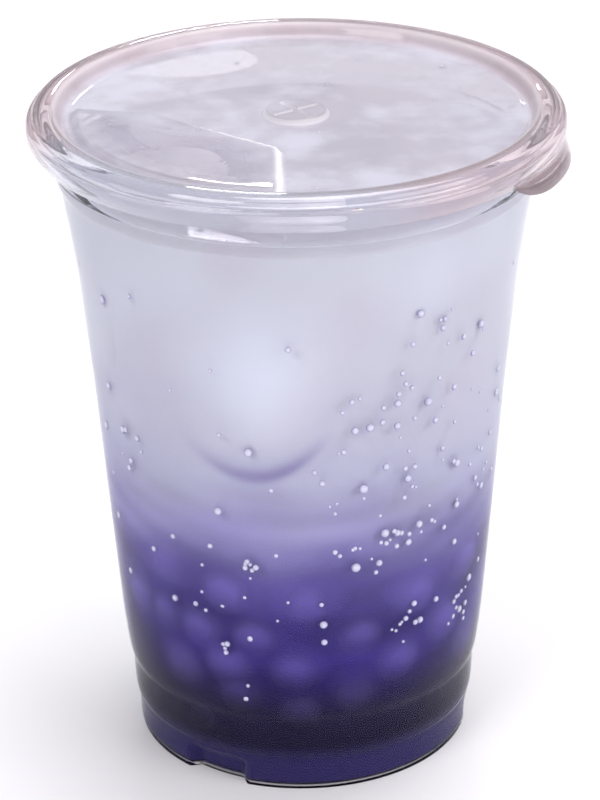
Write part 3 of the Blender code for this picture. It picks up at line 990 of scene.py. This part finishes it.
# Makes every piece, gives it its place on the root body, and puts it over the node that it
# replaces.
def dress():
    plastic = clearMaterial("cupPlastic", plasticLook)
    wetted = clearMaterial("wettedPlastic", {**plasticLook, "rough": 0.0})
    smoky = lidMaterial(lidLook)
    clear = clearMaterial("clearSoda", sodaLook)
    level = clearMaterial("sodaLevel", {**sodaLook, "gloss": 1.0})
    cloud, pearly, wet, sunk, beads = (toneMaterial(name) for name in solidLooks)
    cupPiece, clearPiece = cupShell(plastic), clearDrink(clear)
    faceMaterial(cupPiece, wetted, touchesDrink)
    faceMaterial(clearPiece, level, lambda x, y, z: z > drink["level"] - 0.3)
    made = [
        (cupPiece, "cup", "cup_plastic"),
        (lidShell(smoky), "lid", "lid_plastic"),
        (clearPiece, "drink", "soda"),
        (cloudDrink(cloud), "drink", "soda"),
        (pearlHeap(pearly), None, "pearls"),
        (bubbleSpray(beads), None, "bubbles"),
        (lidDrops(level), None, "soda"),
    ]
    made += [(floatingIce(k, wet), f"ice_{k + 1}", "ice") for k in range(len(ice["floating"]))]
    made += [(sunkIce(k, sunk), None, "ice") for k in range(len(ice["sunk"]))]
    for piece, node, slot in made:
        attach(piece, "root")
        if node:
            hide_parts(node)
        print("dressed:", piece.name, "over", node or "no node")


camera = {
    "at": (0.0, -600.0, 351.3),
    "down": 0.440,
    "roll": -0.0132,
    "height": 800,  # of the frame, in pixels
    "focal": 3388.0,  # in the same pixels
    "sensor": 36.0,
}


def setCamera():
    data = bpy.data.cameras.new("camera")
    data.sensor_width = camera["sensor"]
    data.lens = camera["focal"] * camera["sensor"] / camera["height"]
    obj = bpy.data.objects.new("camera", data)
    bpy.context.scene.collection.objects.link(obj)
    tilt = Matrix.Rotation(math.pi / 2 - camera["down"], 4, "X")
    turn = tilt @ Matrix.Rotation(camera["roll"], 4, "Z")
    obj.matrix_world = Matrix.Translation(Vector(camera["at"]) * mm) @ turn
    bpy.context.scene.camera = obj


lamps = {  # shape, place and aim in metres, width and height, watts and colour
    "key": ("RECTANGLE", (-1.2, -1.3, 1.25), (0, 0, 0.07), (1.0, 1.0), 18, (1.0, 0.985, 0.975)),
    "fill": ("RECTANGLE", (1.4, -0.8, 0.8), (0, 0, 0.07), (1.2, 1.2), 15, (0.98, 0.985, 1.0)),
    "top": ("RECTANGLE", (0.3, 0.5, 2.0), (0, 0, 0.08), (1.2, 1.2), 24, (1.0, 0.98, 0.98)),
    "window": (  # mirrored in the drink's level, under the raised sector
        "RECTANGLE", (-0.033, 1.073, 0.578), (-0.011, -0.036, 0.12), (0.053, 0.018), 0.4,
        (1.0, 1.0, 1.0)),
    "pane": (  # mirrored in the lid's panel, at the back
        "ELLIPSE", (-0.075, 1.5, 0.648), (-0.023, 0.03, 0.128), (0.1, 0.02), 0.007,
        (0.98, 0.98, 1.0)),
    "candle": (  # faint and warm, from the front on the right
        "RECTANGLE", (0.55, -1.2, 0.7), (0.01, -0.048, 0.13), (0.1, 0.1), 1.2,
        (1.0, 0.62, 0.32)),
}

sky = {
    "low": (224, 216, 222),
    "high": (238, 240, 246),
    "strength": 0.55,
}


def addLamp(name, shape, at, aim, size, power, colour):
    data = bpy.data.lights.new(name, "AREA")
    data.shape = shape
    data.size, data.size_y = size
    data.energy, data.color = power, colour
    obj = bpy.data.objects.new(name, data)
    bpy.context.scene.collection.objects.link(obj)
    obj.location = at
    obj.rotation_euler = (Vector(aim) - Vector(at)).to_track_quat("-Z", "Y").to_euler()
    obj.visible_camera = False


def setLights():
    for name, lamp in lamps.items():
        addLamp(name, *lamp)
    world = bpy.data.worlds.new("world")
    bpy.context.scene.world = world
    world.use_nodes = True
    world.node_tree.nodes.clear()
    wire = Wire(world.node_tree)
    way = wire.node("TexCoord", out="Generated")
    up = wire.node("SeparateXYZ", {}, {0: way}, out="Z")
    colour = up.rise(-0.1, 0.9).ramp((0.0, tone(*sky["low"])), (1.0, tone(*sky["high"])))
    light = wire.node("Background", {}, {"Color": colour, "Strength": sky["strength"]})
    output = world.node_tree.nodes.new("ShaderNodeOutputWorld")
    world.node_tree.links.new(light.socket, output.inputs["Surface"])


floorLook = {
    "tones": ((244, 244, 246), (250, 250, 251)),
    "patch": 90,
    "rough": 0.6,
    "reach": 3000.0,
}


def setFloor():
    mat, wire = newMaterial("floor")
    soft = noise(wire, place(wire)[0], floorLook["patch"])
    dull, bright = floorLook["tones"]
    useSurface(wire, wire.node("BsdfPrincipled", {}, {
        "Base Color": soft.mix(paint(*dull), paint(*bright)), "Roughness": floorLook["rough"],
    }))
    reach = floorLook["reach"]
    corners = np.array([(-reach, -reach, 0), (reach, -reach, 0), (reach, reach, 0),
                        (-reach, reach, 0)], float)
    floor = makePiece("floor", corners, [[0, 1, 2, 3]], (), mat)


setCamera()
dress()
setLights()
setFloor()
scene = bpy.context.scene
scene.view_settings.view_transform = "Standard"
scene.cycles.max_bounces = 14
scene.cycles.transmission_bounces = 12
scene.cycles.transparent_max_bounces = 16
scene.cycles.caustics_reflective = False
scene.cycles.caustics_refractive = False

print("stage set")
